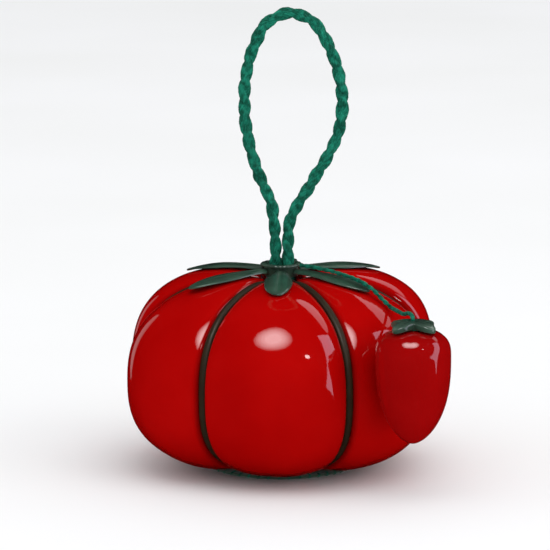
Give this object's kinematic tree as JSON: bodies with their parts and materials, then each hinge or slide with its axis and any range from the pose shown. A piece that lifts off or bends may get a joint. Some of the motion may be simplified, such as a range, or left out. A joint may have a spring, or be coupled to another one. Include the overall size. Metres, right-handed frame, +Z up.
{
  "type": "pin cushion",
  "caption": "Glossy red tomato-shaped pin cushion with green bands between its lobes, a leafy calyx, a twisted hanging loop and a small strawberry emery on a cord.",
  "frame": {"origin": "middle of the flat base disc, on the surface it rests on", "axes": "+Z up, -Y front, +X to the right seen from the front; the strawberry hangs at the front right"},
  "size_m": [0.0736, 0.0768, 0.1051],
  "materials": {
    "red_gloss": "mirror-gloss red coating over cloth",
    "berry_gloss": "mirror-gloss red coating over cloth",
    "band_green": "glossy very dark green cord",
    "leaf_green": "glossy dark green, stiffened",
    "cord_green": "two-ply twisted cotton",
    "disc_felt": "felt",
    "stuffing": "packed fibre",
    "emery": "packed abrasive grit"
  },
  "bodies": {
    "root": {"filling_core": "stuffing", "base_disc": "disc_felt", "cover_segment_1": "red_gloss", "segment_band_1": "band_green", "calyx_leaf_1": "leaf_green", "cover_segment_2": "red_gloss", "segment_band_2": "band_green", "calyx_leaf_2": "leaf_green", "cover_segment_3": "red_gloss", "segment_band_3": "band_green", "calyx_leaf_3": "leaf_green", "cover_segment_4": "red_gloss", "segment_band_4": "band_green", "calyx_leaf_4": "leaf_green", "cover_segment_5": "red_gloss", "segment_band_5": "band_green", "calyx_leaf_5": "leaf_green", "cover_segment_6": "red_gloss", "segment_band_6": "band_green", "calyx_leaf_6": "leaf_green", "calyx_centre": "leaf_green", "cord_anchor_knot": "cord_green"},
    "hanging_loop": {"hanging_loop": "cord_green"},
    "strawberry_cord": {"strawberry_cord": "cord_green"},
    "strawberry_knot": {"strawberry_knot": "cord_green"},
    "strawberry": {"strawberry_cover": "berry_gloss", "strawberry_cap": "leaf_green", "emery_filling": "emery"}
  },
  "joints": [
    {"name": "loop_tilt", "type": "hinge", "parent": "root", "child": "hanging_loop", "pos_m": [0, 0, 0.0478], "axis": [1, 0, 0], "range_deg": [-80, 80], "deforming": ["hanging_loop"]},
    {"name": "strawberry_lift", "type": "hinge", "parent": "root", "child": "strawberry_cord", "pos_m": [0.0262, -0.0153, 0.0389], "axis": [-0.969, -0.247, 0], "range_deg": [0, 90], "deforming": ["strawberry_cord"]},
    {"name": "strawberry_swing", "type": "hinge", "parent": "strawberry_cord", "child": "strawberry_knot", "pos_m": [0.03049, -0.03213, 0.04015], "axis": [-0.7254, -0.6884, 0], "range_deg": [0, 90]},
    {"name": "strawberry_twist", "type": "hinge", "parent": "strawberry_knot", "child": "strawberry", "pos_m": [0.03049, -0.03213, 0.04015], "axis": [0, 0, 1], "range_deg": [-180, 180]}
  ]
}
